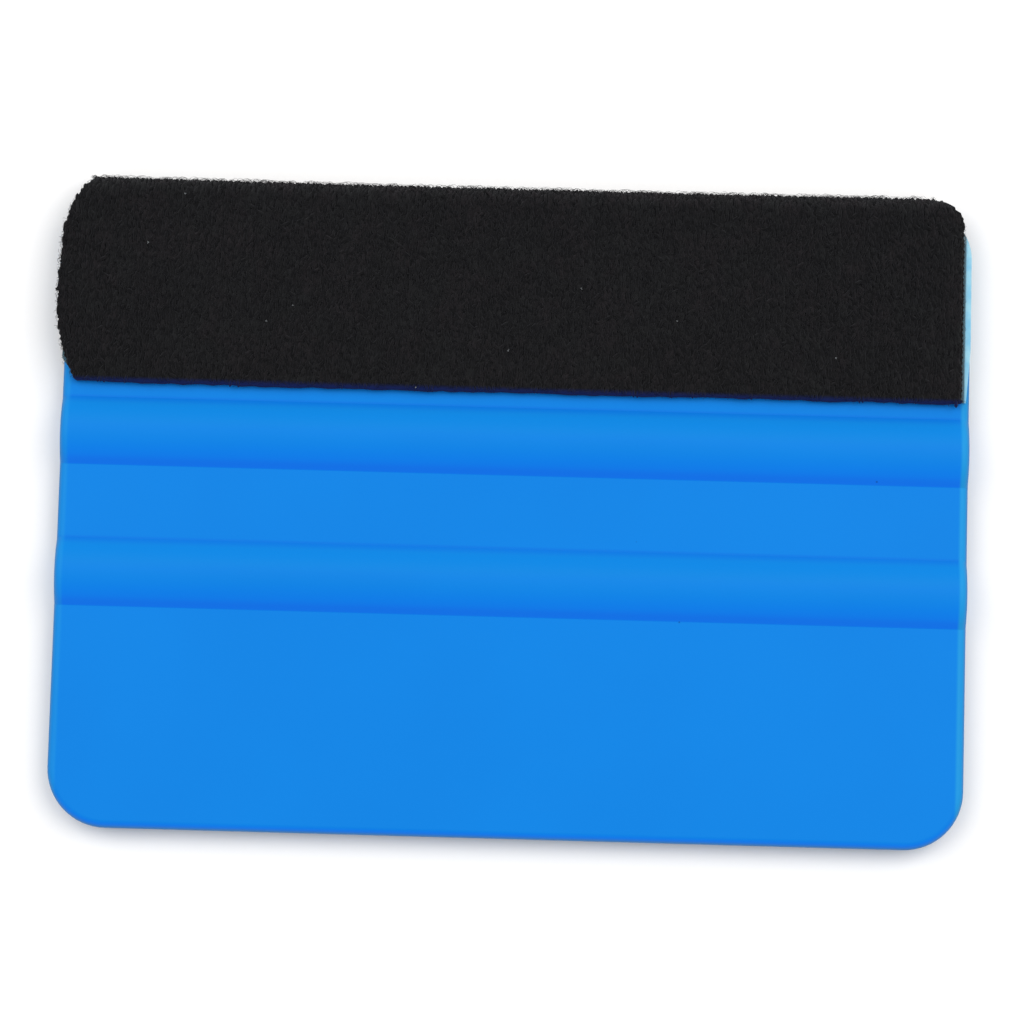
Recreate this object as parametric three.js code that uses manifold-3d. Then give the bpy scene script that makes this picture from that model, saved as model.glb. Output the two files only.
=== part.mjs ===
// Hand squeegee applicator for vinyl film: a moulded plastic card with two finger ribs on each face,
// and a black felt strip folded over its working edge and held by an adhesive film.
// Millimetres. X runs along the card's width, +Y points to the felted working edge, and +Z comes out
// of the front face. The tool lies on its back face: z = 0 is the surface under it, and x = y = 0 is
// the middle of its outline.
import * as THREE from "three";
import { mergeVertices } from "three/addons/utils/BufferGeometryUtils.js";
import Module from "manifold-3d";

// Card
const cardWidth = 100;
const cardHeight = 70.8;
const cardThickness = 2.4;
const cornerRadius = 6.5;
const edgeRound = 0.9; // rounding of the rim, all the way round and on both faces

// Finger ribs, the same on the front and the back
const ribWidth = 7.45;
const ribHeight = 1.2;
const ribPitch = 15.6; // between the two centre lines
const ribLift = 0.33; // their middle lies this far above the card's
const ribEndRound = 1.1; // rounding of a rib's crest where it runs out at the card's sides

// Layers on the working edge, from the card outwards
const layerGap = 0.02; // clearance between one layer and the next
const filmThickness = 0.16;
const feltThickness = 1;
const hemClearance = 1.6; // bare plastic between the upper rib and the felt's hem
const filmSetback = 0.3; // the film's hem stops this much short of the felt's

// Ends of the felt, trimmed by hand
const feltOverhang = 1; // most that the felt stands past the card's left side
const bowAboveHem = 10.85; // where that overhang is greatest
const shoulderDrop = 5.55; // the rounded upper left corner ends this far below the fold
const foldTrim = 2.3; // and starts this far inside the card's left side
const shoulderOverhang = 0.35; // overhang at the end of that corner
const hemTrim = 1.3; // the hem starts this far inside the card's left side
const feltInset = 0.85; // the right end stops this far inside the card's right side
const rightTrim = 3.3; // radius of the upper right corner

// Ends of the adhesive film
const filmOverhang = 0.05; // the film's right end stands this far past the card's right side
const filmCornerRadius = 6;
const filmLeftInset = 0.35; // the film's left end lies this far inside the felt's

// Fineness of the curved faces
const cornerSegments = 14;
const roundSegments = 5;

const ribReach = cardThickness / 2 + ribHeight;
const upperRibCentre = cardHeight / 2 + ribLift + ribPitch / 2;
const lowerRibCentre = cardHeight / 2 + ribLift - ribPitch / 2;
const hemHeight = upperRibCentre + ribWidth / 2 + hemClearance;
const filmStart = layerGap;
const filmEnd = filmStart + filmThickness;
const feltStart = filmEnd + layerGap;
const feltEnd = feltStart + feltThickness;
const foldHeight = cardHeight + feltEnd;
const leftSide = -cardWidth / 2;
const rightSide = cardWidth / 2;

const wasm = await Module();
wasm.setup();

function solidFrom(geometry) {
  geometry.deleteAttribute("normal");
  geometry.deleteAttribute("uv");
  const merged = mergeVertices(geometry, 1e-4);
  return new wasm.Manifold(
    new wasm.Mesh({
      numProp: 3,
      vertProperties: merged.attributes.position.array,
      triVerts: new Uint32Array(merged.index.array),
    }),
  );
}

function geometryFrom(solid) {
  const mesh = solid.getMesh();
  const geometry = new THREE.BufferGeometry();
  geometry.setAttribute("position", new THREE.BufferAttribute(mesh.vertProperties, 3));
  geometry.setIndex(new THREE.BufferAttribute(mesh.triVerts, 1));
  geometry.computeVertexNormals();
  return geometry;
}

// An outline drawn in X and Y, given a height centred on z = 0, with its rims rounded if asked.
function slab(outline, height, round = 0) {
  const geometry = new THREE.ExtrudeGeometry(outline, {
    depth: height - 2 * round,
    curveSegments: cornerSegments,
    bevelEnabled: round > 0,
    bevelThickness: round,
    bevelSize: round,
    bevelOffset: -round,
    bevelSegments: roundSegments,
  });
  return geometry.translate(0, 0, -height / 2 + round);
}

// A section drawn in Y and Z, run along X for a length centred on x = 0.
function bar(section, length) {
  const sectionToSpace = new THREE.Matrix4().makeBasis(
    new THREE.Vector3(0, 1, 0),
    new THREE.Vector3(0, 0, 1),
    new THREE.Vector3(1, 0, 0),
  );
  return slab(section, length).applyMatrix4(sectionToSpace);
}

function cardOutline() {
  const outline = new THREE.Shape();
  const right = rightSide - cornerRadius;
  const left = leftSide + cornerRadius;
  const top = cardHeight - cornerRadius;
  outline.absarc(right, cornerRadius, cornerRadius, -Math.PI / 2, 0);
  outline.absarc(right, top, cornerRadius, 0, Math.PI / 2);
  outline.absarc(left, top, cornerRadius, Math.PI / 2, Math.PI);
  outline.absarc(left, cornerRadius, cornerRadius, Math.PI, 1.5 * Math.PI);
  return outline;
}

// A rib's section: a low arc on the front face and the same arc on the back face.
function ribSection(centreY) {
  const half = ribWidth / 2;
  const radius = (half * half + ribHeight * ribHeight) / (2 * ribHeight);
  const spread = Math.asin(half / radius);
  const centreZ = ribReach - radius;
  const section = new THREE.Shape();
  section.absarc(centreY, centreZ, radius, Math.PI / 2 - spread, Math.PI / 2 + spread);
  section.absarc(centreY, -centreZ, radius, 1.5 * Math.PI - spread, 1.5 * Math.PI + spread);
  return section;
}

// The ribs end where the card does, so each is a long bar kept only inside the card's own outline.
function cardSolid() {
  const body = solidFrom(slab(cardOutline(), cardThickness, edgeRound));
  const ribSpace = solidFrom(slab(cardOutline(), 2 * ribReach, ribEndRound));
  const upperRib = solidFrom(bar(ribSection(upperRibCentre), 2 * cardWidth));
  const lowerRib = solidFrom(bar(ribSection(lowerRibCentre), 2 * cardWidth));
  return body.add(upperRib.add(lowerRib).intersect(ribSpace));
}

// The section of a layer folded over the working edge, between two distances from the card's surface.
function foldedSection(inner, outer, hemY) {
  const face = cardThickness / 2;
  const bendY = cardHeight - edgeRound;
  const bendZ = face - edgeRound;
  const section = new THREE.Shape();
  section.moveTo(hemY, -face - outer);
  section.lineTo(bendY, -face - outer); // a path that starts with an arc drops the point before it
  section.absarc(bendY, -bendZ, edgeRound + outer, -Math.PI / 2, 0);
  section.absarc(bendY, bendZ, edgeRound + outer, 0, Math.PI / 2);
  section.lineTo(hemY, face + outer);
  section.lineTo(hemY, face + inner);
  section.absarc(bendY, bendZ, edgeRound + inner, Math.PI / 2, 0, true);
  section.absarc(bendY, -bendZ, edgeRound + inner, 0, -Math.PI / 2, true);
  section.lineTo(hemY, -face - inner);
  return section;
}

// The felt's plan: its left end bows out past the card, and its right end is straight.
function feltOutline() {
  const right = rightSide - feltInset;
  const bowX = leftSide - feltOverhang;
  const bowY = hemHeight + bowAboveHem;
  const shoulderX = leftSide - shoulderOverhang;
  const shoulderY = foldHeight - shoulderDrop;
  const outline = new THREE.Shape();
  outline.moveTo(leftSide + hemTrim, hemHeight);
  outline.lineTo(right, hemHeight);
  outline.absarc(right - rightTrim, foldHeight - rightTrim, rightTrim, 0, Math.PI / 2);
  outline.lineTo(leftSide + foldTrim, foldHeight);
  outline.quadraticCurveTo(leftSide, foldHeight - foldTrim, shoulderX, shoulderY);
  outline.quadraticCurveTo(bowX, (shoulderY + bowY) / 2, bowX, bowY);
  outline.quadraticCurveTo(bowX, (bowY + hemHeight) / 2, leftSide + hemTrim, hemHeight);
  return outline;
}

function filmOutline() {
  const hemY = hemHeight + filmSetback;
  const right = rightSide + filmOverhang;
  const left = leftSide - feltOverhang + filmLeftInset;
  const top = foldHeight - feltThickness;
  const bowY = hemHeight + bowAboveHem;
  const outline = new THREE.Shape();
  outline.moveTo(leftSide + hemTrim + filmLeftInset, hemY);
  outline.lineTo(right, hemY);
  outline.absarc(right - filmCornerRadius, top - filmCornerRadius, filmCornerRadius, 0, Math.PI / 2);
  outline.lineTo(leftSide + foldTrim + filmLeftInset, top);
  outline.quadraticCurveTo(left, top - foldTrim, left, bowY);
  outline.quadraticCurveTo(left, (bowY + hemY) / 2, leftSide + hemTrim + filmLeftInset, hemY);
  return outline;
}

// A layer folded over the working edge and trimmed to its plan.
function foldedLayer(outline, inner, outer, hemY) {
  const channel = solidFrom(bar(foldedSection(inner, outer, hemY), 2 * cardWidth));
  const plan = solidFrom(slab(outline, 2 * (cardThickness + feltEnd)));
  return channel.intersect(plan);
}

function subPart(name, solid, colour, roughness) {
  const material = new THREE.MeshStandardMaterial({ color: colour, roughness, metalness: 0 });
  const mesh = new THREE.Mesh(geometryFrom(solid), material);
  mesh.name = name;
  return mesh;
}

function card() {
  return subPart("applicator_card", cardSolid(), 0x1886e8, 0.42);
}

function adhesiveFilm() {
  const hemY = hemHeight + filmSetback;
  const solid = foldedLayer(filmOutline(), filmStart, filmEnd, hemY);
  return subPart("adhesive_film", solid, 0xa6d8ef, 0.35);
}

function feltStrip() {
  const solid = foldedLayer(feltOutline(), feltStart, feltEnd, hemHeight);
  return subPart("felt_strip", solid, 0x1c1c1f, 0.95);
}

const applicator = new THREE.Group();
applicator.add(card(), adhesiveFilm(), feltStrip());

const extent = new THREE.Box3().setFromObject(applicator);
const middle = extent.getCenter(new THREE.Vector3());
applicator.position.set(-middle.x, -middle.y, -extent.min.z);

export default applicator;
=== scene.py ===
"""Looks of the squeegee applicator: a moulded blue card with finger ribs, a milky adhesive film and a
black loop-velour felt strip folded over the working edge.

Pieces are shaped in millimetres in card coordinates: x from the card's middle, y up from the bare
edge, z out of the front face from the middle of the thickness. settle() then takes them to metres
in the frame of the CAD model.
"""
import math

import bpy
import numpy as np
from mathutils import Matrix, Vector


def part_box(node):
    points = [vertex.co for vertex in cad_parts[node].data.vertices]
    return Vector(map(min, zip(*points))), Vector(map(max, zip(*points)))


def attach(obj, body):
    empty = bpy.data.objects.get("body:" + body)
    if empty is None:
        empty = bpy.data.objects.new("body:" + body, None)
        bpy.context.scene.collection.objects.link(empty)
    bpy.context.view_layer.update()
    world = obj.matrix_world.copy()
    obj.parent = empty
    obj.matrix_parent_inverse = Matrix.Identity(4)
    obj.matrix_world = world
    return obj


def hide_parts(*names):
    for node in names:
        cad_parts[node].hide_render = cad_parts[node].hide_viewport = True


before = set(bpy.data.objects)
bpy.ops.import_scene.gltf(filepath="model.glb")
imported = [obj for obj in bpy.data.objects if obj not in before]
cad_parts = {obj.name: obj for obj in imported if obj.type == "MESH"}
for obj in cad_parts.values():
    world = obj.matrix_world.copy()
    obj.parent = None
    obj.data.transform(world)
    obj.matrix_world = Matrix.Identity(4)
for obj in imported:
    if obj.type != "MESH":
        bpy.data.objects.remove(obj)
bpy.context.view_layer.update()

MM = 0.001
FRONT, BACK = 1, -1

# The card and the felt's reach, from the frame
card_low, card_high = (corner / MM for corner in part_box("applicator_card"))
felt_low, felt_high = (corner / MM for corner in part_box("felt_strip"))
CARD_MIDDLE = (card_low.x + card_high.x) / 2
CARD_WIDTH = card_high.x - card_low.x
CARD_HEIGHT = card_high.y - card_low.y
MID_THICKNESS = (card_low.z + card_high.z) / 2
RIB_REACH = (card_high.z - card_low.z) / 2
LEFT_SIDE = -CARD_WIDTH / 2
RIGHT_SIDE = CARD_WIDTH / 2
HEM_HEIGHT = felt_low.y - card_low.y
FOLD_HEIGHT = felt_high.y - card_low.y

# Card and ribs
CORNER_RADIUS = 6.5
EDGE_ROUND = 0.9
RIB_HEIGHT = 1.2
RIB_WIDTH = 7.45
RIB_PITCH = 15.6
RIB_LIFT = 0.33  # the ribs' middle lies this far above the card's
RIB_FILLET = 0.4
RIB_ROOT = 0.3  # the ribs start this far from the middle of the thickness
BLANK_ALLOWANCE = 4  # spare length, cut off at the card's sides
BAR_ALLOWANCE = 6
HALF_THICKNESS = RIB_REACH - RIB_HEIGHT
RIB_CENTRES = tuple(CARD_HEIGHT / 2 + RIB_LIFT + step * RIB_PITCH / 2 for step in (1, -1))

# The layers folded over the working edge, as distances from the card's surface
FILM_START = 0.02
FILM_END = 0.18
FELT_START = 0.2
PILE_ROOT = 0.84  # top of the felt's knitted ground
FELT_END = felt_high.y - card_high.y

# Those layers laid flat: v runs from the front hem up and over the edge to the back hem, and h is
# the height above the card's surface
BEND_Y = CARD_HEIGHT - EDGE_ROUND
BEND_Z = HALF_THICKNESS - EDGE_ROUND
FACE_RUN = BEND_Y - HEM_HEIGHT
LAND_RUN = 2 * BEND_Z
ARC_RUN = math.pi / 2 * (EDGE_ROUND + (FELT_START + FELT_END) / 2)
STRIP_LENGTH = 2 * FACE_RUN + 2 * ARC_RUN + LAND_RUN
MIDDLE_OF_STRIP = STRIP_LENGTH / 2
TABLE_Z = -RIB_REACH
FOLD_LOFT_X = (-50, -20, 20, 50)
FOLD_LOFT = (0.22, 0.1, 0.1, 0.27)  # how far the felt stands off the edge, at those four places

# The felt's outline, cut by hand
FELT_OVERHANG = 0.88  # most that the left end stands past the card's side
BOW_ABOVE_HEM = 8.5  # where it does so
SHOULDER_DROP = 5.55  # the rounded upper left corner ends this far below the fold
SHOULDER_OVERHANG = 0.42
SHOULDER_PULL = 0.35  # how far inside the side that corner's control point lies
FOLD_TRIM = 2.4  # and so does the fold
HEM_TRIM = 1.4  # the hem starts this far inside the card's side
FELT_INSET = 0.88  # the right end stops this far inside the card's side
RIGHT_TRIM = 3.3
NICK_DEPTH = 0.22  # a small nick in the right end, level with the card's edge
NICK_WIDTH = 0.28
BACK_FLAP_SHOWS = 0.7  # the back flap's lower left corner is fuller than the front one's
BACK_FLAP_START = 4  # past the fold
BACK_FLAP_RUN = 8
BACK_FLAP_RISE = 7  # above the hem
FRONT_HEM_RISE = 0.12
FRONT_HEM_FADE = 3  # the rise dies out this far up the strip
HEM_WAVER = 0.06
HEM_TEAR = 0.1
CUT_EDGE_ROUND = 0.14
TOOTH_PITCH = 0.62
LEFT_TOOTH = 0.13
RIGHT_TOOTH = 0.06

# Pile, stray fibres and lint
COURSE_PITCH = 0.56
WALE_PITCH = 0.43
WALE_HEIGHT = 0.03
PILE_YARN = 0.15  # radius of the yarn
STRAY_YARN = 0.016
LINT_YARN = 0.03
YARN_SINK = 0.16  # the loops' feet lie this deep in the ground
TUFTS = np.array([(-50.62, 10.1), (-50.6, 10.35), (48.35, 0.35)])  # two at the left, one low down
TUFT_TURNS = (1.3, 1.7, 0.1)
FIBRES_OVER_FRONT = 2600
FIBRES_ON_FOLD = 1700
FIBRES_AT_LEFT = 520
FIBRES_AT_RIGHT = 160
FIBRES_AT_HEM = 260
LINT_PLACES = ((12.9, 21.1), (9.0, 15.6), (56.9, 11.7), (25.2, 9.0), (67.5, 8.4), (22.3, 7.15),
               (49.1, 4.65), (85.1, 4.75), (39.0, 0.25))  # from the left side, above the hem

# The adhesive film
HEM_SETBACK = 0.3
FILM_CORNER = 6.0
FILM_OVERHANG = -0.02
FILM_LEFT_INSET = 0.35
FILM_PEEP = 0.66  # how far it shows at the lower left
FILM_PEEPS_ABOVE_HEM = 2.6
FILM_HEM_TRIM = 0.45
FILM_DROOP = 0.3
MOST_DROOP = 0.45
FILM_TRIM_RUN = 6  # its right end slants in over this length above the hem
MOST_CORNER_RISE = 5.5

# Colours
CARD_BLUE = (0.0004, 0.197, 0.671)
CARD_BLUE_LIGHT = (0.0006, 0.204, 0.686)
# painted shade: the deeper blue of slopes facing down the card
CARD_PAINTED_DOWNHILL_SHADE = (0.0024, 0.180, 0.835)
# painted light: the lighter blue of slopes facing up the card
CARD_PAINTED_UPHILL_LIGHT = (0.0005, 0.208, 0.655)
# painted shade in the crease below each rib's upper edge
CARD_PAINTED_CREASE_SHADE = (0.0001, 0.150, 0.650)
# painted shade along each rib's lower edge
CARD_PAINTED_LEE_SHADE = (0.002, 0.145, 0.790)
# painted reflection: the lighter band just inside the card's sides
CARD_PAINTED_RIM_REFLECTION = (0.010, 0.275, 0.660)
# painted reflection: the greyer blue of faces not turned straight up
CARD_PAINTED_SIDE_REFLECTION = (0.042, 0.205, 0.430)
CARD_DUST = (0.004, 0.04, 0.16)
FELT_DARK = (0.0038, 0.0038, 0.0044)
FELT_LIGHT = (0.0140, 0.0146, 0.0150)
FELT_WARM = (0.0165, 0.0139, 0.0154)
FELT_SHEEN = (0.75, 0.76, 0.85)
# painted reflection: the card's blue on the felt just above its hem
HEM_PAINTED_BLUE_REFLECTION = (0.002, 0.009, 0.075)
FILM_BLUE = (0.20, 0.58, 0.82)
FILM_MILK = (0.34, 0.72, 0.88)
# painted shadow: the dark teal of the film beside the felt's right end
FILM_PAINTED_SHADOW = (0.008, 0.085, 0.125)
LINT_DULL = (0.050, 0.055, 0.060)
LINT_PALE = (0.260, 0.280, 0.290)
FLOOR_TONE = (0.95, 0.95, 0.95)
FLOOR_TONE_LIGHT = (0.97, 0.97, 0.97)
LAMP_COLOUR = (1.0, 0.985, 0.965)
SKY_COLOUR = (0.98, 0.985, 1.0)

# Light and camera, in metres, watts and degrees
SOFTBOX_ASIDE, SOFTBOX_FORWARD, SOFTBOX_HEIGHT = 0.78, 0.42, 1.20
SOFTBOX_SIZE = 1.2
KEY_POWER = 11.5
FILL_POWER = 9.25
SKY_STRENGTH = 0.58
FLOOR_SIZE = 6
LENS_LENGTH = 127.7
CAMERA_ASIDE, CAMERA_BACK, CAMERA_HEIGHT = 0.002675, -0.0429, 0.400
CAMERA_TURN = (6.15, 0.22, 1.61)


# ---------------------------------------------------------------- modelling helpers

def deselect_all():
    """An operator acts on everything selected, so each shape starts with nothing selected."""
    bpy.ops.object.select_all(action="DESELECT")


def active_mesh(name):
    """The primitive just added, with its size and turn taken into its mesh."""
    piece = bpy.context.active_object
    bpy.ops.object.transform_apply(location=True, rotation=True, scale=True)
    piece.name = name
    piece.data.name = name
    return piece


def make_active(piece):
    deselect_all()
    piece.select_set(True)
    bpy.context.view_layer.objects.active = piece


def edit(piece):
    """Opens a piece in edit mode, with edges to be chosen and nothing selected."""
    make_active(piece)
    bpy.ops.object.mode_set(mode="EDIT")
    bpy.ops.mesh.select_mode(type="EDGE")
    bpy.ops.mesh.select_all(action="DESELECT")


def leave_edit():
    bpy.ops.object.mode_set(mode="OBJECT")


def positions(mesh):
    flat = np.empty(len(mesh.vertices) * 3)
    mesh.vertices.foreach_get("co", flat)
    return flat.reshape(-1, 3)


def set_positions(mesh, points):
    mesh.vertices.foreach_set("co", np.ascontiguousarray(points, np.float32).ravel())
    mesh.update()


def select_edges(piece, wanted):
    """Selects the edges that wanted(ends, face_normals) accepts, in a piece open in edit mode."""
    leave_edit()
    mesh = piece.data
    points = positions(mesh)
    normals_at = {}
    for face in mesh.polygons:
        for key in face.edge_keys:
            normals_at.setdefault(key, []).append(face.normal)
    for face in mesh.polygons:
        face.select = False
    for vertex in mesh.vertices:
        vertex.select = False
    for edge in mesh.edges:
        ends = points[list(edge.vertices)]
        edge.select = bool(wanted(ends, normals_at.get(edge.key, [])))
    bpy.ops.object.mode_set(mode="EDIT")


def apply_modifier(piece, kind, **settings):
    """Adds a modifier, sets it and applies it."""
    make_active(piece)
    modifier = piece.modifiers.new(kind.title(), kind)
    for key, value in settings.items():
        setattr(modifier, key, value)
    bpy.ops.object.modifier_apply(modifier=modifier.name)


def settle(piece, material):
    """Takes a piece from card millimetres to metres in the CAD frame, gives it its material and hangs it
    under the root body.
    """
    points = positions(piece.data)
    home = np.array([CARD_MIDDLE, card_low.y, MID_THICKNESS])
    set_positions(piece.data, (points + home) * MM)
    piece.data.materials.clear()
    piece.data.materials.append(material)
    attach(piece, "root")
    return piece


# ---------------------------------------------------------------- shader helpers

class Socket:
    """A node's output, with arithmetic that adds Math nodes."""

    def __init__(self, shader, output):
        self.shader = shader
        self.output = output

    def maths(self, operation, *values):
        return self.shader.node("ShaderNodeMath", {"operation": operation}, *values)

    def __add__(self, other):
        return self.maths("ADD", self, other)

    __radd__ = __add__

    def __sub__(self, other):
        return self.maths("SUBTRACT", self, other)

    def __rsub__(self, other):
        return self.maths("SUBTRACT", other, self)

    def __mul__(self, other):
        return self.maths("MULTIPLY", self, other)

    __rmul__ = __mul__

    def __abs__(self):
        return self.maths("ABSOLUTE", self)

    def __pow__(self, other):
        return self.maths("POWER", self, other)

    def most(self, other):
        return self.maths("MAXIMUM", self, other)

    def between(self, low, high):
        """0 below low, 1 above high, and smooth in between."""
        settings = {"interpolation_type": "SMOOTHSTEP"}
        return self.shader.node("ShaderNodeMapRange", settings, self, low, high, 0.0, 1.0)


class Shader:
    """A new material, and the one method that adds nodes to it."""

    def __init__(self, name):
        self.material = bpy.data.materials.new(name)
        self.material.use_nodes = True
        self.tree = self.material.node_tree
        self.surface = self.tree.nodes["Principled BSDF"]

    def node(self, kind, settings=None, *values, output=0, **named):
        """Adds a node. values go to its inputs in order, and named ones by name (a_b is "A B")."""
        made = self.tree.nodes.new(kind)
        for key, value in (settings or {}).items():
            setattr(made, key, value)
        for index, value in enumerate(values):
            self.put(made.inputs[index], value)
        for key, value in named.items():
            self.put(made.inputs[key.replace("_", " ").title()], value)
        return Socket(self, made.outputs[output])

    def put(self, socket, value):
        if isinstance(value, Socket):
            self.tree.links.new(value.output, socket)
        elif value is not None:
            socket.default_value = value

    def place(self, scale=(1, 1, 1), turn=(0, 0, 0)):
        """Coordinates in millimetres, scaled and turned."""
        start = self.node("ShaderNodeTexCoord", output="Object")
        size = tuple(s / MM for s in scale)
        return self.node("ShaderNodeMapping", None, start, None, turn, size)

    def parts(self, vector):
        """The x, y and z of a vector."""
        split = self.node("ShaderNodeSeparateXYZ", None, vector).output.node
        return [Socket(self, output) for output in split.outputs]

    def noise(self, vector, scale, detail=2.0):
        """Soft noise, about one blot in every 1 / scale millimetres."""
        return self.node("ShaderNodeTexNoise", None, vector, None, scale, detail)

    def mix(self, factor, first, second):
        """A mix of two colours."""
        made = self.tree.nodes.new("ShaderNodeMix")
        made.data_type = "RGBA"
        self.put(made.inputs["Factor"], factor)
        colours = [i for i in made.inputs if i.type == "RGBA"]
        self.put(colours[0], first)
        self.put(colours[1], second)
        return Socket(self, next(o for o in made.outputs if o.type == "RGBA"))

    def bump(self, height, distance, strength=1.0, under=None):
        """A bump of height (0 to 1) times distance, in millimetres."""
        made = self.node("ShaderNodeBump", None, Strength=strength, Distance=distance * MM,
                         Height=height)
        if under is not None:
            self.put(made.output.node.inputs["Normal"], under)
        return made

    def finish(self, **inputs):
        """Sets the surface shader's sockets by name, and hands back the material."""
        for key, value in inputs.items():
            self.put(self.surface.inputs[key.replace("_", " ")], value)
        return self.material


def colour(red, green, blue):
    return (red, green, blue, 1.0)


# ---------------------------------------------------------------- materials

def card_plastic():
    """Glossy-matt blue moulding: faint cloudiness, orange peel, a few dust specks and light wear, with
    painted light and shade: rib slopes painted deeper blue where they face down and lighter where they
    face up, painted shade along the ribs' creases and lower edges, and painted reflections along the
    sides and on every face not turned straight up.
    """
    shader = Shader("blue_moulded_plastic")
    home = shader.place()
    cloud = shader.noise(home, 0.05, detail=3.0)
    streak = shader.noise(shader.place(scale=(0.05, 1.4, 1.0)), 1.0, detail=3.0)
    speck = shader.node("ShaderNodeTexVoronoi", {"feature": "F1"}, home, None, 0.16)
    speck_size = shader.noise(home, 0.9, detail=0.0)
    dust = 1 - speck.between(0.012, 0.026)
    dust = dust * speck_size.between(0.5, 0.56)

    across, along, _ = shader.parts(home)
    _, slope, upward = shader.parts(shader.node("ShaderNodeTexCoord", output="Normal"))
    past_x = (abs(across - CARD_MIDDLE) - (CARD_WIDTH / 2 - CORNER_RADIUS)).most(0)
    past_y = (abs(along - (card_low.y + CARD_HEIGHT / 2)) - (CARD_HEIGHT / 2 - CORNER_RADIUS)).most(0)
    from_edge = CORNER_RADIUS - (past_x ** 2 + past_y ** 2) ** 0.5
    rim = 1 - from_edge.between(0.2, 1.3)

    body = shader.mix(cloud.between(0.3, 0.7), colour(*CARD_BLUE), colour(*CARD_BLUE_LIGHT))
    # Painted shade: slopes facing down the card are painted a deeper blue
    body = shader.mix((0 - slope).between(0.0, 0.75), body, colour(*CARD_PAINTED_DOWNHILL_SHADE))
    # Painted light: slopes facing up the card are painted lighter
    body = shader.mix(slope.between(0.0, 0.25), body, colour(*CARD_PAINTED_UPHILL_LIGHT))
    crease = 0
    painted_lee_shade = 0
    for centre in RIB_CENTRES:
        below = (card_low.y + centre + RIB_WIDTH / 2 + RIB_FILLET) - along
        crease = crease + below.between(0.0, 0.4) * (1 - below.between(0.4, 1.2))
        above = along - (card_low.y + centre - RIB_WIDTH / 2)
        painted_lee_shade = painted_lee_shade + above.between(-0.05, 0.1) * (1 - above.between(0.3, 1.2))
    # Painted shade: a darker band just below each rib's upper crease
    body = shader.mix(crease * 0.65, body, colour(*CARD_PAINTED_CREASE_SHADE))
    # Painted shade: each rib is painted darker along its lower edge
    body = shader.mix(painted_lee_shade * 0.5, body, colour(*CARD_PAINTED_LEE_SHADE))
    # Painted reflection: a lighter band just inside each side of the card, stronger towards the right
    inset = CARD_WIDTH / 2 - abs(across - CARD_MIDDLE)
    band = inset.between(0.1, 0.3) * (1 - inset.between(0.75, 1.15))
    rightward = (across - CARD_MIDDLE).between(-1.0, 1.0)
    body = shader.mix(band * (0.4 + rightward * 0.6), body, colour(*CARD_PAINTED_RIM_REFLECTION))
    # Painted reflection of the white floor: every face not turned straight up, the walls, the rounded rim
    # and the back too, is painted a greyer blue
    body = shader.mix((1 - upward.between(0.3, 0.95)) * 0.85, body, colour(*CARD_PAINTED_SIDE_REFLECTION))
    body = shader.mix(dust * 0.6, body, colour(*CARD_DUST))

    peel = shader.noise(home, 3.2, detail=2.0)
    scuff = shader.noise(shader.place(scale=(0.3, 5.0, 1.0), turn=(0, 0, 0.5)), 1.0, detail=4.0)
    wear = scuff.between(0.58, 0.72)
    roughness = 0.36 + peel * 0.05 + streak * 0.05 + wear * 0.08 + rim * 0.05
    skin = shader.bump(peel, 0.006, strength=0.5)
    skin = shader.bump(wear, 0.004, strength=0.4, under=skin)
    return shader.finish(Base_Color=body, Roughness=roughness, Normal=skin, Specular_IOR_Level=0.09)


def felt_cloth(name):
    """Matt black knitted velour: mottled, with dark pores and faint wales, a tone for each loop (on the
    pile painted lighter near the fold and the right end), and a painted blue reflection just above the
    hem.
    """
    shader = Shader(name)
    home = shader.place()
    # On the pile this tone includes painted light near the fold and the right end
    tone = shader.node("ShaderNodeAttribute", {"attribute_name": "tone"}, output=2)
    patch = shader.noise(home, 0.12, detail=3.0).between(0.3, 0.7)
    twist = shader.noise(home, 7.0, detail=2.0)
    mottle = shader.noise(home, 1.2, detail=2.0).between(0.3, 0.7)
    pore = 1 - shader.noise(home, 1.7, detail=1.0).between(0.36, 0.46)
    shade = tone + (patch - 0.5) * 0.12 + (mottle - 0.5) * 0.26 + (twist - 0.5) * 0.16
    wale = shader.noise(shader.place(scale=(2.2, 0.45, 0.45)), 1.0, detail=1.0).between(0.3, 0.7)
    shade = (shade + (wale - 0.5) * 0.24 - 0.02 - pore * 0.40).most(0)
    cast = shader.noise(home, 0.26, detail=2.0).between(0.42, 0.6)
    light = shader.mix(cast, colour(*FELT_LIGHT), colour(*FELT_WARM))
    fibre = shader.mix(shade, colour(*FELT_DARK), light)
    _, along, _ = shader.parts(home)
    above_hem = along - (card_low.y + HEM_HEIGHT)
    # Painted reflection: the felt just above its hem is painted blue, as the card's blue shows on it
    fibre = shader.mix((1 - above_hem.between(0.1, 0.75)) * 0.85, fibre, colour(*HEM_PAINTED_BLUE_REFLECTION))
    roughness = 0.86 + twist * 0.14
    nap = shader.bump(twist, 0.05, strength=0.6)
    return shader.finish(Base_Color=fibre, Roughness=roughness, Normal=nap, Specular_IOR_Level=0.12,
                         Sheen_Weight=0.05, Sheen_Roughness=0.6, Sheen_Tint=colour(*FELT_SHEEN))


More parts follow.
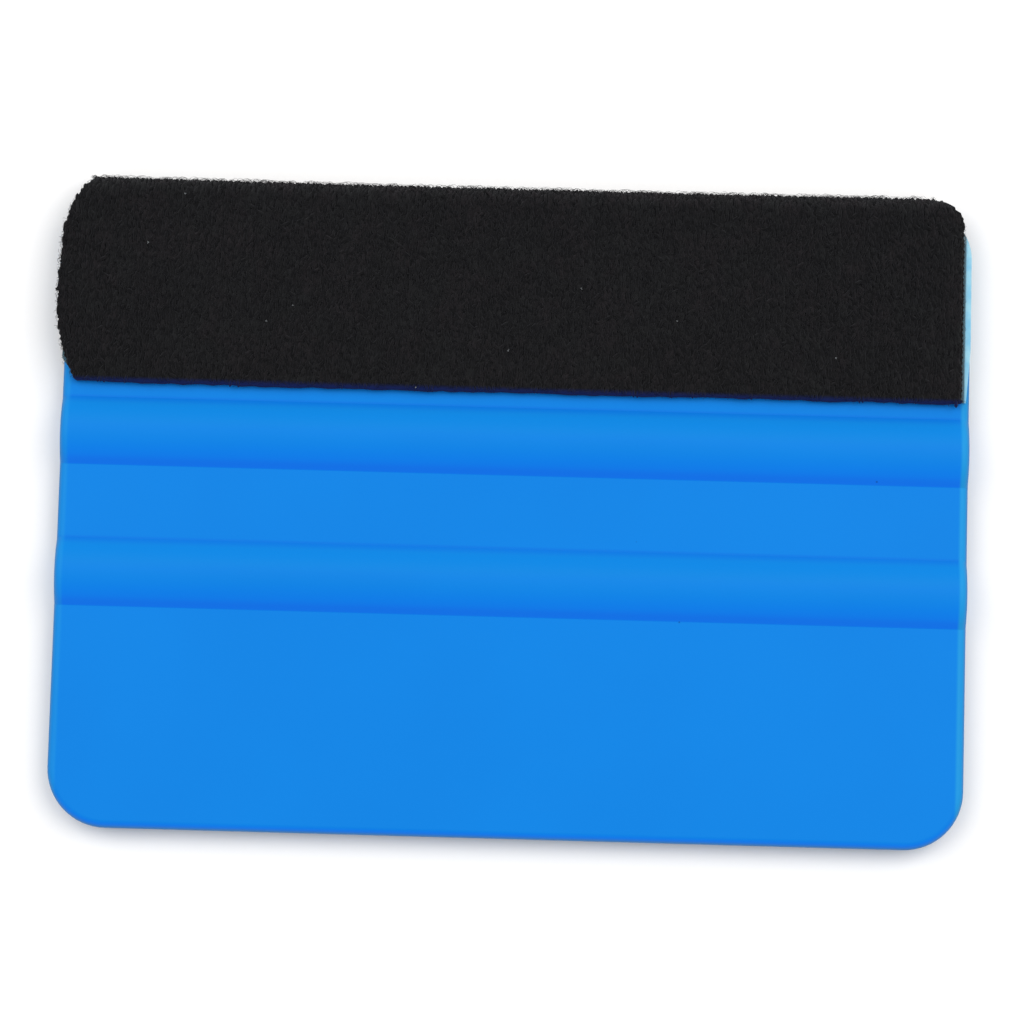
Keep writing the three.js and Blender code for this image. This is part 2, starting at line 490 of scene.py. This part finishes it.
def film_skin():
    """Milky double-sided film: cloudier in patches, with fine wrinkles along the card's edge, and a
    painted shadow beside the felt's right end.
    """
    shader = Shader("milky_film")
    home = shader.place()
    cloud = shader.noise(home, 0.7, detail=3.0)
    crease = shader.noise(shader.place(scale=(2.5, 0.8, 1.0)), 1.0, detail=2.0)
    body = shader.mix(cloud.between(0.3, 0.7), colour(*FILM_BLUE), colour(*FILM_MILK))
    across, _, _ = shader.parts(home)
    # Painted shadow: the film is painted dark teal just past the felt's right end
    past_felt = across - (CARD_MIDDLE + RIGHT_SIDE - FELT_INSET)
    body = shader.mix(1 - past_felt.between(0.12, 0.34), body, colour(*FILM_PAINTED_SHADOW))
    skin = shader.bump(crease, 0.05, strength=0.7)
    return shader.finish(Base_Color=body, Roughness=0.3 + cloud * 0.15, Normal=skin, Alpha=0.72)


def lint_fibre():
    """Pale dull fluff."""
    shader = Shader("pale_lint")
    home = shader.place()
    cloud = shader.noise(home, 9.0, detail=2.0)
    body = shader.mix(cloud.between(0.3, 0.7), colour(*LINT_DULL), colour(*LINT_PALE))
    return shader.finish(Base_Color=body, Roughness=0.85 + cloud * 0.1, Specular_IOR_Level=0.2,
                         Normal=shader.bump(cloud, 0.02, strength=0.5))


def floor_paper():
    """Near-white matt paper."""
    shader = Shader("pale_floor_paper")
    grain = shader.noise(shader.place(), 1.6, detail=2.0)
    paper = shader.mix(grain, colour(*FLOOR_TONE), colour(*FLOOR_TONE_LIGHT))
    return shader.finish(Base_Color=paper, Roughness=0.9 + grain * 0.1, Specular_IOR_Level=0.0)


# ---------------------------------------------------------------- the card

def rib_bar(centre, side):
    """One finger rib on one face: the top of a long cylinder, cut off inside the card."""
    half = RIB_WIDTH / 2
    radius = (half ** 2 + RIB_HEIGHT ** 2) / (2 * RIB_HEIGHT)
    deselect_all()
    bpy.ops.mesh.primitive_cylinder_add(
        vertices=60, radius=radius, depth=CARD_WIDTH + BAR_ALLOWANCE,
        location=(0, centre, side * (RIB_REACH - radius)), rotation=(0, math.pi / 2, 0))
    bar = active_mesh("rib_bar")
    edit(bar)
    bpy.ops.mesh.select_all(action="SELECT")
    bpy.ops.mesh.bisect(plane_co=(0, centre, side * RIB_ROOT), plane_no=(0, 0, side), use_fill=True,
                        clear_inner=True)
    leave_edit()
    return bar


def moulded_card():
    """The blue card, with two finger ribs on each face, small fillets beside them and a rounded rim."""
    deselect_all()
    bpy.ops.mesh.primitive_cube_add(size=1, location=(0, CARD_HEIGHT / 2, 0),
                                    scale=(CARD_WIDTH + BLANK_ALLOWANCE, CARD_HEIGHT, 2 * HALF_THICKNESS))
    card = active_mesh("moulded_card")
    for centre in RIB_CENTRES:
        for side in (FRONT, BACK):
            bar = rib_bar(centre, side)
            apply_modifier(card, "BOOLEAN", object=bar, operation="UNION", solver="EXACT")
            bpy.data.objects.remove(bar)

    edit(card)
    bpy.ops.mesh.select_all(action="SELECT")
    bpy.ops.mesh.remove_doubles(threshold=0.001)
    select_edges(card, beside_a_rib)
    bpy.ops.mesh.bevel(offset=RIB_FILLET, offset_type="OFFSET", segments=4, profile=0.5)

    for end in (LEFT_SIDE, RIGHT_SIDE):
        bpy.ops.mesh.select_all(action="SELECT")
        bpy.ops.mesh.bisect(plane_co=(end, 0, 0), plane_no=(math.copysign(1, end), 0, 0),
                            use_fill=True, clear_outer=True)
    select_edges(card, upright_corner)
    bpy.ops.mesh.bevel(offset=CORNER_RADIUS, offset_type="OFFSET", segments=16, profile=0.5,
                       clamp_overlap=False)
    select_edges(card, on_the_rim)
    bpy.ops.mesh.bevel(offset=EDGE_ROUND, offset_type="OFFSET", segments=6, profile=0.5,
                       clamp_overlap=False)
    bpy.ops.mesh.select_all(action="SELECT")
    bpy.ops.mesh.remove_doubles(threshold=0.0005)
    bpy.ops.mesh.normals_make_consistent(inside=False)
    leave_edit()
    bpy.ops.object.shade_smooth_by_angle(angle=math.radians(40))
    apply_modifier(card, "WEIGHTED_NORMAL", mode="FACE_AREA", keep_sharp=True)
    return card


def beside_a_rib(ends, normals):
    """An edge in the crease where a rib rises out of a face."""
    flat = np.allclose(np.abs(ends[:, 2]), HALF_THICKNESS, atol=0.02)
    long = abs(ends[0, 0] - ends[1, 0]) > CARD_WIDTH / 2
    from_rib = min(abs(abs(ends[0, 1] - centre) - RIB_WIDTH / 2) for centre in RIB_CENTRES)
    return flat and long and from_rib < 0.06


def upright_corner(ends, normals):
    """An edge through the card's thickness, at one of its four corners."""
    upright = np.ptp(ends[:, 0]) < 0.01 and np.ptp(ends[:, 1]) < 0.01
    at_side = abs(abs(ends[0, 0]) - CARD_WIDTH / 2) < 0.01
    at_end = min(abs(ends[0, 1]), abs(ends[0, 1] - CARD_HEIGHT)) < 0.01
    return upright and at_side and at_end


def on_the_rim(ends, normals):
    """An edge between the wall and a face or a rib's crest."""
    if len(normals) != 2:
        return False
    steep, level = sorted(abs(normal.z) for normal in normals)
    return steep < 0.1 and level > 0.5


# ---------------------------------------------------------------- what is folded over the edge

def folded(points):
    """Points (x, v, h) of a flat layer laid over the working edge, in card coordinates."""
    x, v, h = points.T
    beyond = np.abs(v - MIDDLE_OF_STRIP)
    side = np.where(v < MIDDLE_OF_STRIP, FRONT, BACK)
    turn = np.clip((beyond - LAND_RUN / 2) / ARC_RUN, 0, 1) * math.pi / 2
    down = np.maximum(beyond - LAND_RUN / 2 - ARC_RUN, 0)
    along_land = np.minimum(beyond, LAND_RUN / 2)
    loft = np.where(h > FILM_END + 0.005, np.interp(x, FOLD_LOFT_X, FOLD_LOFT), 0)
    radius = EDGE_ROUND + h + loft * np.cos(turn)
    y = BEND_Y + radius * np.cos(turn) - down
    z = side * (along_land + radius * np.sin(turn))
    return np.stack([x, y, np.maximum(z, TABLE_Z + 0.01)], 1)


def plan_height(v):
    """How far up the card the felt's outer surface lies, at v along the strip."""
    points = np.stack([np.zeros_like(v), v, np.full_like(v, FELT_END)], 1)
    return folded(points)[:, 1]


def curve_points(start, control, end):
    """Points along a quadratic curve."""
    t = np.linspace(0, 1, 33)[:, None]
    start, control, end = (np.array(point, float) for point in (start, control, end))
    return (1 - t) ** 2 * start + 2 * t * (1 - t) * control + t ** 2 * end


def left_cut_line():
    """The felt's left end, cut by hand: it bows out past the card and rounds off at the fold."""
    bow = (LEFT_SIDE - FELT_OVERHANG, HEM_HEIGHT + BOW_ABOVE_HEM)
    shoulder = (LEFT_SIDE - SHOULDER_OVERHANG, FOLD_HEIGHT - SHOULDER_DROP)
    lower = curve_points((LEFT_SIDE + HEM_TRIM, HEM_HEIGHT), (bow[0], (bow[1] + HEM_HEIGHT) / 2), bow)
    upper = curve_points(bow, (bow[0], (shoulder[1] + bow[1]) / 2), shoulder)
    corner = curve_points(shoulder, (LEFT_SIDE + SHOULDER_PULL, FOLD_HEIGHT - FOLD_TRIM),
                          (LEFT_SIDE + FOLD_TRIM, FOLD_HEIGHT))
    return np.concatenate([lower, upper[1:], corner[1:]])


LEFT_CUT = left_cut_line()


def felt_left(v):
    """Where the felt's left end is, at v along the strip."""
    x = np.interp(plan_height(v), LEFT_CUT[:, 1], LEFT_CUT[:, 0])
    behind = np.clip((v - MIDDLE_OF_STRIP - BACK_FLAP_START) / BACK_FLAP_RUN, 0, 1)
    low = np.clip(1 - (plan_height(v) - HEM_HEIGHT) / BACK_FLAP_RISE, 0, 1)
    return x - BACK_FLAP_SHOWS * behind * low


def felt_right(v):
    """Where its right end is: straight, with a round corner at the fold."""
    up = np.maximum(plan_height(v) - (FOLD_HEIGHT - RIGHT_TRIM), 0)
    corner = RIGHT_TRIM - np.sqrt(np.maximum(RIGHT_TRIM ** 2 - up ** 2, 0))
    nick = NICK_DEPTH * np.exp(-((plan_height(v) - CARD_HEIGHT) / NICK_WIDTH) ** 2)
    return RIGHT_SIDE - FELT_INSET - corner - nick


def on_felt(places, left_gap, right_gap, reach=0.0):
    """Which places (x, v) lie this far inside the cut ends, also at reach up and down the strip."""
    x, v = places.T
    inside = np.ones(len(places), bool)
    for step in (-reach, 0, reach):
        inside &= (x > felt_left(v + step) + left_gap) & (x < felt_right(v + step) - right_gap)
    return inside


def front_hem(x):
    """How far the front hem lies above its line: it rises a little to the right, and it wavers."""
    rise = np.interp(x, (0.3 * RIGHT_SIDE, RIGHT_SIDE), (0, FRONT_HEM_RISE))
    return rise + HEM_WAVER * wander(x, seed=8, scale=4.5, start=-60)


def strip_sheet(name, columns, rows, v_range, left, right, layer):
    """A flat grid between two cut lines, given its thickness. Still flat: (x, v, h)."""
    deselect_all()
    bpy.ops.mesh.primitive_grid_add(x_subdivisions=columns, y_subdivisions=rows, size=2)
    piece = active_mesh(name)
    apply_modifier(piece, "SOLIDIFY", thickness=layer[1] - layer[0], offset=1)
    points = positions(piece.data)
    share = (points[:, 0] + 1) / 2
    v = v_range[0] + (points[:, 1] + 1) / 2 * (v_range[1] - v_range[0])
    low, high = left(v), right(v)
    points[:, 0] = low + share * (high - low)
    points[:, 1] = v
    points[:, 2] += layer[0]
    set_positions(piece.data, points)
    return piece


def zigzag(v, pitch):
    """A wave of straight teeth, from -1 to 1."""
    return np.abs((v / pitch) % 1 * 4 - 2) - 1


def wander(places, seed, scale, start=0.0):
    """Unevenness along a line, from -1 to 1, with a new value every scale millimetres from start."""
    knots = np.arange(-2, 120, scale)
    values = np.random.default_rng(seed).uniform(-1, 1, len(knots))
    return np.interp(places - start, knots, values)


def felt_backing():
    """The knitted ground of the felt, with its cut ends in small teeth."""
    def left(v):
        teeth = LEFT_TOOTH * zigzag(v, TOOTH_PITCH)
        return felt_left(v) + 0.12 + teeth + 0.08 * wander(v, seed=3, scale=0.7)

    def right(v):
        teeth = RIGHT_TOOTH * zigzag(v, TOOTH_PITCH)
        return felt_right(v) - 0.1 - teeth + 0.05 * wander(v, seed=4, scale=0.9)

    piece = strip_sheet("felt_backing", 150, 154, (0.0, STRIP_LENGTH), left, right,
                        (FELT_START, PILE_ROOT))
    points = positions(piece.data)
    top = points[:, 2] > (FELT_START + PILE_ROOT) / 2
    ribbing = np.sin(points[:, 0] / WALE_PITCH * 2 * math.pi) * WALE_HEIGHT
    points[:, 2] += np.where(top, ribbing, 0)
    hem = np.minimum(points[:, 1], STRIP_LENGTH - points[:, 1])
    uneven = HEM_TEAR * wander(points[:, 0], seed=5, scale=1.1, start=-60)
    points[:, 1] += np.where(hem < 0.2, uneven, 0)
    points[:, 1] += front_hem(points[:, 0]) * np.clip(1 - points[:, 1] / FRONT_HEM_FADE, 0, 1)
    set_positions(piece.data, points)
    apply_modifier(piece, "BEVEL", width=CUT_EDGE_ROUND, segments=2, limit_method="ANGLE",
                   angle_limit=math.radians(65))
    set_positions(piece.data, folded(positions(piece.data)))
    bpy.ops.object.shade_smooth_by_angle(angle=math.radians(60))
    tone_of(piece, np.random.default_rng(11).uniform(0.1, 0.4, len(piece.data.vertices)))
    return piece


def tone_of(piece, values):
    """Gives each point its own tone, which the felt's material reads."""
    attribute = piece.data.attributes.new("tone", "FLOAT", "POINT")
    attribute.data.foreach_set("value", np.ascontiguousarray(values, np.float32))


def loop_template(radius, sides, steps):
    """A half hoop of yarn, one long and one high, spun from a small ring and closed at its feet."""
    deselect_all()
    bpy.ops.mesh.primitive_circle_add(vertices=sides, radius=radius, fill_type="NGON",
                                      location=(0, 0.5, 0))
    hoop = active_mesh("hoop")
    edit(hoop)
    bpy.ops.mesh.select_all(action="SELECT")
    bpy.ops.mesh.spin(steps=steps, angle=math.pi, center=(0, 0, 0), axis=(-1, 0, 0), dupli=False)
    bpy.ops.mesh.select_all(action="SELECT")
    bpy.ops.mesh.remove_doubles(threshold=1e-5)
    bpy.ops.mesh.normals_make_consistent(inside=False)
    leave_edit()
    points = positions(hoop.data)
    faces = [list(face.vertices) for face in hoop.data.polygons]
    bpy.data.objects.remove(hoop)
    return points, faces


def many_hoops(name, template, places, turns, spans, heights, widths, roots, tones, shift=None):
    """Copies of a hoop over the strip, each with its own place, turn, size and tone, then folded.
    shift leans a hoop's crest to one side."""
    shape, faces = template
    count = len(places)
    x = shape[None, :, 0] * widths[:, None]
    along = shape[None, :, 1] * spans[:, None]
    up = shape[None, :, 2] * 2 * heights[:, None]
    x = x + (0 if shift is None else shift[:, None] * shape[None, :, 2] * 2)
    sine, cosine = np.sin(turns)[:, None], np.cos(turns)[:, None]
    points = np.stack([
        places[:, :1] + x * cosine - along * sine,
        places[:, 1:] + x * sine + along * cosine,
        roots[:, None] + up,
    ], 2).reshape(-1, 3)
    step = len(shape)
    all_faces = [[v + k * step for v in face] for k in range(count) for face in faces]
    mesh = bpy.data.meshes.new(name)
    mesh.from_pydata(folded(points).tolist(), [], all_faces)
    mesh.polygons.foreach_set("use_smooth", [True] * len(mesh.polygons))
    piece = bpy.data.objects.new(name, mesh)
    bpy.context.scene.collection.objects.link(piece)
    tone_of(piece, np.repeat(tones, step))
    return piece


def pile_positions():
    """Where the loops of the pile stand: staggered courses along the strip, in even wales across it."""
    draw = np.random.default_rng(21)
    courses = np.arange(0.42, STRIP_LENGTH - 0.4, COURSE_PITCH)
    wales = np.arange(LEFT_SIDE - 2, RIGHT_SIDE + 1, WALE_PITCH)
    x, v = np.meshgrid(wales, courses)
    v = v + (np.arange(len(wales)) % 2) * COURSE_PITCH / 2
    x = x + draw.normal(0, 0.09, x.shape)
    v = v + draw.normal(0, 0.13, v.shape)
    places = np.stack([x.ravel(), v.ravel()], 1)
    inside = on_felt(places, 0.1, 0.2, reach=0.35)
    uneven = 0.08 * wander(places[:, 0], seed=9, scale=0.9, start=-60)
    inside &= places[:, 1] > 0.48 + front_hem(places[:, 0]) + uneven
    inside &= places[:, 1] < STRIP_LENGTH - 0.5
    return np.concatenate([places[inside], TUFTS])


def pile():
    """The loop pile, in bands along the strip."""
    template = loop_template(PILE_YARN, 3, 5)
    places = pile_positions()
    draw = np.random.default_rng(22)
    count = len(places)
    turns = draw.normal(0, math.radians(14), count)
    turns[~on_felt(places, 0.5, 0.6)] *= 0.4
    loose = draw.random(count) < 0.09
    loose &= on_felt(places, 0.7, 0.8)
    turns[loose] = draw.uniform(-1.1, 1.1, loose.sum())
    turns[-len(TUFTS):] = TUFT_TURNS
    spans = draw.uniform(0.7, 1.15, count)
    roots = np.full(count, PILE_ROOT - YARN_SINK)
    heights = FELT_END - PILE_YARN - roots - draw.uniform(0.0, 0.14, count)
    widths = draw.uniform(1.2, 1.65, count)
    tones = np.clip(draw.normal(0.25, 0.08, count), 0, 0.7)
    # Painted light: loops near the fold and near the right end are given lighter tones
    painted_fold_light = np.exp(-((places[:, 1] - MIDDLE_OF_STRIP) / 2.4) ** 4)
    painted_right_end_light = np.exp(-((felt_right(places[:, 1]) - places[:, 0]) / 1.2) ** 2)
    tones = tones + 0.56 * painted_fold_light + 0.3 * painted_right_end_light
    shift = draw.normal(0, 0.07, count)
    cuts = np.quantile(places[:, 1], [0.0, 0.2, 0.4, 0.6, 0.8, 1.0])
    names = ("pile_front_low", "pile_front_high", "pile_on_fold", "pile_back_high", "pile_back_low")
    bands = []
    for name, start, end in zip(names, cuts[:-1], cuts[1:]):
        band = (places[:, 1] >= start) & (places[:, 1] < end + (name == names[-1]))
        bands.append(many_hoops(name, template, places[band], turns[band], spans[band],
                                heights[band], widths[band], roots[band], tones[band], shift[band]))
    return bands


def fuzz():
    """Fine stray fibres standing off the pile, more of them along the fold and the cut ends."""
    draw = np.random.default_rng(31)
    over = np.stack([draw.uniform(LEFT_SIDE, RIGHT_SIDE - 1, FIBRES_OVER_FRONT),
                     draw.uniform(0.6, MIDDLE_OF_STRIP + 3, FIBRES_OVER_FRONT)], 1)
    fold = np.stack([draw.uniform(LEFT_SIDE + 2, RIGHT_SIDE - 1.6, FIBRES_ON_FOLD),
                     MIDDLE_OF_STRIP + draw.normal(0, 0.9, FIBRES_ON_FOLD)], 1)
    fold = fold[on_felt(fold, 0.9, 1.1, reach=0.4)]
    v = draw.uniform(0.4, STRIP_LENGTH - 0.6, FIBRES_AT_LEFT)
    left = np.stack([felt_left(v) + np.abs(draw.normal(0.1, 0.15, FIBRES_AT_LEFT)), v], 1)
    v = draw.uniform(0.4, STRIP_LENGTH - 0.6, FIBRES_AT_RIGHT)
    right = np.stack([felt_right(v) - np.abs(draw.normal(0.25, 0.1, FIBRES_AT_RIGHT)), v], 1)
    hem = np.stack([draw.uniform(LEFT_SIDE + 2, RIGHT_SIDE - 0.8, FIBRES_AT_HEM),
                    0.15 + np.abs(draw.normal(0.1, 0.12, FIBRES_AT_HEM))], 1)
    over = over[on_felt(over, 0.3, 0.4, reach=0.3)]
    left = left[on_felt(left, 0.02, 0.3, reach=0.25)]
    right = right[on_felt(right, 0.3, 0.15, reach=0.25)]
    places = np.concatenate([over, fold, left, right, hem])
    count = len(places)
    turns = draw.uniform(-math.pi / 2, math.pi / 2, count)
    at_fold = slice(len(over), len(over) + len(fold))
    turns[at_fold] = math.pi / 2 + draw.normal(0, 0.35, len(fold))
    spans = draw.uniform(0.4, 0.9, count)
    spans[at_fold] = draw.uniform(0.7, 1.2, len(fold))
    roots = np.full(count, FELT_END - 0.3)
    heights = draw.uniform(0.2, 0.36, count)
    heights[at_fold] = draw.uniform(0.16, 0.44, len(fold))
    tones = draw.uniform(0.2, 1.2, count)
    shift = draw.normal(0, 0.12, count)
    return many_hoops("stray_fibres", loop_template(STRAY_YARN, 3, 5), places, turns, spans, heights,
                      np.ones(count), roots, tones, shift)


def lint():
    """Pale flecks of lint caught in the pile, each a few short curled fibres."""
    draw = np.random.default_rng(41)
    places = []
    for from_left, above_hem in LINT_PLACES:
        centre = np.array([LEFT_SIDE + from_left, above_hem])
        places += [centre + draw.normal(0, 0.04, 2) for _ in range(3)]
    places = np.array(places)
    count = len(places)
    return many_hoops("lint_flecks", loop_template(LINT_YARN, 4, 6), places,
                      draw.uniform(-1.5, 1.5, count), draw.uniform(0.12, 0.24, count),
                      draw.uniform(0.04, 0.08, count), np.ones(count),
                      np.full(count, FELT_END - 0.05), np.full(count, 0.5))


def film():
    """The adhesive film under the felt. It shows beside the felt's right end, where it bends down
    over the card's rim, and a little at the lower left."""
    start = HEM_SETBACK
    end = STRIP_LENGTH - HEM_SETBACK

    def left(v):
        peeping = np.exp(-(v - FILM_PEEPS_ABOVE_HEM) ** 2)
        return felt_left(v) + FILM_LEFT_INSET - FILM_PEEP * peeping

    def right(v):
        up = np.clip(plan_height(v) - (CARD_HEIGHT + FILM_END - FILM_CORNER), 0, MOST_CORNER_RISE)
        corner = FILM_CORNER - np.sqrt(FILM_CORNER ** 2 - up ** 2)
        low = np.clip((FILM_TRIM_RUN - v) / FILM_TRIM_RUN, 0, 1)
        uneven = 0.03 * wander(v, seed=6, scale=2.4)
        return RIGHT_SIDE + FILM_OVERHANG - corner - FILM_HEM_TRIM * low + uneven

    piece = strip_sheet("film_margin", 240, 150, (start, end), left, right, (FILM_START, FILM_END))
    points = positions(piece.data)
    over_rim = np.maximum(points[:, 0] - (RIGHT_SIDE - EDGE_ROUND), 0)
    face = np.abs(points[:, 1] - MIDDLE_OF_STRIP) > LAND_RUN / 2 + ARC_RUN
    droop = np.where(face, FILM_DROOP * over_rim ** 2, 0.0)
    points[:, 2] -= np.minimum(droop, MOST_DROOP)
    set_positions(piece.data, folded(points))
    bpy.ops.object.shade_smooth_by_angle(angle=math.radians(50))
    return piece


# ---------------------------------------------------------------- the scene

def build_applicator():
    card = settle(moulded_card(), card_plastic())
    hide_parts("applicator_card")

    margin = settle(film(), film_skin())
    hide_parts("adhesive_film")

    pile_cloth = felt_cloth("black_velour_pile")
    ground_cloth = felt_cloth("black_velour_ground")
    backing = settle(felt_backing(), ground_cloth)
    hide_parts("felt_strip")
    dressing = [settle(piece, pile_cloth) for piece in pile() + [fuzz()]]
    dressing.append(settle(lint(), lint_fibre()))
    STRIP_LENGTH * MM


def build_floor():
    deselect_all()
    bpy.ops.mesh.primitive_plane_add(size=FLOOR_SIZE, location=(0, 0, 0))
    floor = active_mesh("floor")
    floor.data.materials.append(floor_paper())


def soft_box(name, side, power):
    """A square softbox on one side of the card, turned to it."""
    lamp = bpy.data.lights.new(name, "AREA")
    lamp.shape = "SQUARE"
    lamp.size = SOFTBOX_SIZE
    lamp.energy = power
    lamp.color = LAMP_COLOUR
    stand = bpy.data.objects.new(name, lamp)
    bpy.context.scene.collection.objects.link(stand)
    stand.location = (side * SOFTBOX_ASIDE, SOFTBOX_FORWARD, SOFTBOX_HEIGHT)
    stand.rotation_mode = "QUATERNION"
    stand.rotation_quaternion = Vector(stand.location).to_track_quat("Z", "Y")


def build_light():
    soft_box("right_softbox", 1, KEY_POWER)
    soft_box("left_softbox", -1, FILL_POWER)
    world = bpy.data.worlds.new("studio")
    world.use_nodes = True
    sky = world.node_tree.nodes["Background"]
    sky.inputs["Color"].default_value = colour(*SKY_COLOUR)
    sky.inputs["Strength"].default_value = SKY_STRENGTH
    bpy.context.scene.world = world
    bpy.context.scene.view_settings.view_transform = "Standard"


def build_camera():
    lens = bpy.data.cameras.new("camera")
    lens.sensor_width = 36
    lens.lens = LENS_LENGTH
    lens.clip_start = 0.01
    camera = bpy.data.objects.new("camera", lens)
    bpy.context.scene.collection.objects.link(camera)
    camera.location = (CARD_MIDDLE * MM + CAMERA_ASIDE, CAMERA_BACK, CAMERA_HEIGHT)
    camera.rotation_euler = [math.radians(angle) for angle in CAMERA_TURN]
    bpy.context.scene.camera = camera


build_camera()
build_applicator()
build_floor()
build_light()
